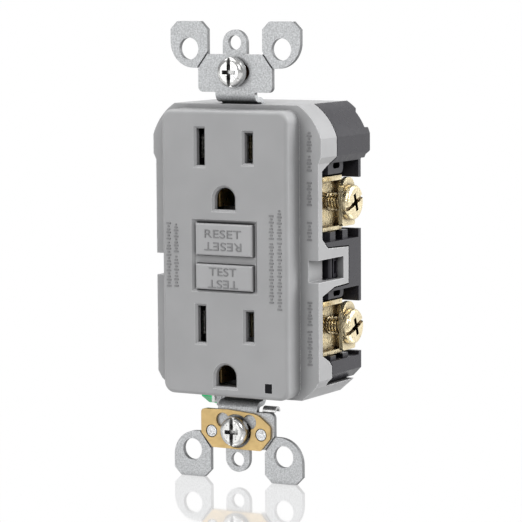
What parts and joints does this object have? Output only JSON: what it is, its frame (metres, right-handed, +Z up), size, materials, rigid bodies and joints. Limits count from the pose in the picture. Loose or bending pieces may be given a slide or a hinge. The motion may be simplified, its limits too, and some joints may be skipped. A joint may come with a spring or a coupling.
{
  "type": "ground-fault receptacle",
  "caption": "Duplex wall outlet with ground-fault protection: raised face with blade slots, ground holes, two push buttons, a mounting strap, side wire clamps and a rear housing.",
  "frame": {"origin": "midway between the two device mounting screws, on the back face of the mounting strap", "axes": "+X right as seen from the room (hot side), +Y into the wall, +Z up"},
  "size_m": [0.0498, 0.0305, 0.1064],
  "materials": {
    "cover_grey": "fine satin texture, light grey thermoplastic",
    "button_grey": "fine satin, light grey",
    "housing_dark": "satin dark grey phenolic",
    "galvanised_steel": "galvanised, fine speckle",
    "strap_rivet": "dull zinc",
    "spring_steel": "bright spring steel",
    "ground_brass": "satin rolled brass",
    "fibre": "vulcanised fibre",
    "plated_screw": "bright zinc plated",
    "contact_brass": "rolled brass",
    "terminal_brass": "bright brass",
    "terminal_silver": "nickel plated",
    "ground_green": "green dyed zinc plating",
    "ground_clamp_steel": "zinc plated",
    "arm_copper": "copper alloy spring strip",
    "contact_silver": "silver contact alloy",
    "stem_steel": "zinc plated steel",
    "lens_black": "smoked clear plastic",
    "yoke_plastic": "natural nylon",
    "coil_wire": "enamelled copper wire",
    "board_green": "solder masked glass epoxy",
    "part_dark": "moulded epoxy",
    "part_blue": "dipped epoxy",
    "part_can": "aluminium can",
    "part_tan": "cement coat",
    "led_body": "clear green epoxy"
  },
  "bodies": {
    "receptacle": {"circuit_board": "board_green", "controller_chip": "part_dark", "filter_capacitor": "part_can", "front_cover": "cover_grey", "front_sense_coil": "coil_wire", "grounding_plate": "ground_brass", "grounding_spring": "spring_steel", "hot_fixed_contact": "contact_silver", "hot_line_terminal": "terminal_brass", "hot_receptacle_bus": "contact_brass", "housing_screws": "plated_screw", "indicator_led": "led_body", "lower_ground_contact": "contact_brass", "mounting_strap": "galvanised_steel", "neutral_fixed_contact": "contact_silver", "neutral_line_terminal": "terminal_silver", "neutral_receptacle_bus": "contact_brass", "plate_rivets": "strap_rivet", "power_resistors": "part_tan", "rear_housing": "housing_dark", "rear_sense_coil": "coil_wire", "rectifier_diodes": "part_dark", "reset_spring": "spring_steel", "screw_retainers": "fibre", "separator": "housing_dark", "solenoid_bobbin": "yoke_plastic", "solenoid_coil": "coil_wire", "solenoid_frame": "stem_steel", "status_lens": "lens_black", "surge_varistor": "part_blue", "switching_thyristor": "part_dark", "test_blade": "spring_steel", "test_resistor": "part_tan", "test_spring": "spring_steel", "upper_ground_contact": "contact_brass"},
    "reset_button": {"reset_button": "button_grey", "reset_stem": "stem_steel"},
    "test_button": {"test_button": "button_grey"},
    "plunger": {"plunger": "stem_steel"},
    "lifter": {"lifter": "yoke_plastic", "latch_spring": "spring_steel"},
    "latch_plate": {"latch_plate": "stem_steel"},
    "hot_contact_arm": {"hot_contact_arm": "arm_copper"},
    "neutral_contact_arm": {"neutral_contact_arm": "arm_copper"},
    "ground_clamp": {"ground_clamp": "ground_clamp_steel"},
    "ground_screw": {"ground_screw": "ground_green"},
    "upper_mounting_screw": {"upper_mounting_screw": "plated_screw"},
    "lower_mounting_screw": {"lower_mounting_screw": "plated_screw"},
    "hot_load_clamp": {"hot_load_clamp": "terminal_brass"},
    "hot_load_screw": {"hot_load_screw": "terminal_brass"},
    "hot_line_clamp": {"hot_line_clamp": "terminal_brass"},
    "hot_line_screw": {"hot_line_screw": "terminal_brass"},
    "neutral_load_clamp": {"neutral_load_clamp": "terminal_silver"},
    "neutral_load_screw": {"neutral_load_screw": "terminal_silver"},
    "neutral_line_clamp": {"neutral_line_clamp": "terminal_silver"},
    "neutral_line_screw": {"neutral_line_screw": "terminal_silver"}
  },
  "joints": [
    {"name": "reset_press", "type": "slide", "parent": "receptacle", "child": "reset_button", "axis": [0, 1, 0], "range_m": [0, 0.0015], "stiffness_N_per_m": 900, "springref_m": -0.0015, "deforming": ["reset_spring"]},
    {"name": "test_press", "type": "slide", "parent": "receptacle", "child": "test_button", "axis": [0, 1, 0], "range_m": [0, 0.0015], "stiffness_N_per_m": 900, "springref_m": -0.0015, "deforming": ["test_spring"]},
    {"name": "trip", "type": "slide", "parent": "receptacle", "child": "plunger", "axis": [-1, 0, 0], "range_m": [0, 0.0012]},
    {"name": "lifter_drop", "type": "slide", "parent": "receptacle", "child": "lifter", "axis": [0, 1, 0], "range_m": [0, 0.001]},
    {"name": "latch_slide", "type": "slide", "parent": "lifter", "child": "latch_plate", "axis": [-1, 0, 0], "range_m": [0, 0.0012]},
    {"name": "hot_arm_swing", "type": "hinge", "parent": "receptacle", "child": "hot_contact_arm", "pos_m": [0.0113, 0.0092, -0.0093], "axis": [-1, 0, 0], "range_deg": [0, 3.9]},
    {"name": "neutral_arm_swing", "type": "hinge", "parent": "receptacle", "child": "neutral_contact_arm", "pos_m": [-0.0113, 0.0092, -0.0093], "axis": [-1, 0, 0], "range_deg": [0, 3.9]},
    {"name": "hot_load_clamp_in", "type": "slide", "parent": "receptacle", "child": "hot_load_clamp", "axis": [-1, 0, 0], "range_m": [0, 0.00198]},
    {"name": "hot_load_screw_turn", "type": "hinge", "parent": "hot_load_clamp", "child": "hot_load_screw", "pos_m": [0.022, 0.011, 0.0116], "axis": [-1, 0, 0], "range_deg": [0, 903]},
    {"name": "hot_line_clamp_in", "type": "slide", "parent": "receptacle", "child": "hot_line_clamp", "axis": [-1, 0, 0], "range_m": [0, 0.00198]},
    {"name": "hot_line_screw_turn", "type": "hinge", "parent": "hot_line_clamp", "child": "hot_line_screw", "pos_m": [0.022, 0.011, -0.0172], "axis": [-1, 0, 0], "range_deg": [0, 903]},
    {"name": "neutral_load_clamp_in", "type": "slide", "parent": "receptacle", "child": "neutral_load_clamp", "axis": [1, 0, 0], "range_m": [0, 0.00198]},
    {"name": "neutral_load_screw_turn", "type": "hinge", "parent": "neutral_load_clamp", "child": "neutral_load_screw", "pos_m": [-0.022, 0.011, 0.0116], "axis": [1, 0, 0], "range_deg": [0, 903]},
    {"name": "neutral_line_clamp_in", "type": "slide", "parent": "receptacle", "child": "neutral_line_clamp", "axis": [1, 0, 0], "range_m": [0, 0.00198]},
    {"name": "neutral_line_screw_turn", "type": "hinge", "parent": "neutral_line_clamp", "child": "neutral_line_screw", "pos_m": [-0.022, 0.011, -0.0172], "axis": [1, 0, 0], "range_deg": [0, 903]},
    {"name": "ground_clamp_in", "type": "slide", "parent": "receptacle", "child": "ground_clamp", "axis": [1, 0, 0], "range_m": [0, 0.00198]},
    {"name": "ground_screw_turn", "type": "hinge", "parent": "ground_clamp", "child": "ground_screw", "pos_m": [-0.012, 0.0088, -0.0333], "axis": [1, 0, 0], "range_deg": [0, 903]},
    {"name": "upper_mounting_screw_turn", "type": "hinge", "parent": "receptacle", "child": "upper_mounting_screw", "pos_m": [0, 0, 0.04167], "axis": [0, 1, 0], "continuous": true},
    {"name": "lower_mounting_screw_turn", "type": "hinge", "parent": "receptacle", "child": "lower_mounting_screw", "pos_m": [0, 0, -0.04167], "axis": [0, 1, 0], "continuous": true}
  ],
  "couplings": [
    {"joint": "lifter_drop", "follows": "trip", "ratio": 0.83333},
    {"joint": "latch_slide", "follows": "trip", "ratio": 1},
    {"joint": "hot_arm_swing", "follows": "trip", "rad_per_m": 53.763},
    {"joint": "neutral_arm_swing", "follows": "trip", "rad_per_m": 53.763},
    {"joint": "hot_load_screw_turn", "follows": "hot_load_clamp_in", "rad_per_m": 7915.8},
    {"joint": "hot_line_screw_turn", "follows": "hot_line_clamp_in", "rad_per_m": 7915.8},
    {"joint": "neutral_load_screw_turn", "follows": "neutral_load_clamp_in", "rad_per_m": 7915.8},
    {"joint": "neutral_line_screw_turn", "follows": "neutral_line_clamp_in", "rad_per_m": 7915.8},
    {"joint": "ground_screw_turn", "follows": "ground_clamp_in", "rad_per_m": 7915.8}
  ]
}
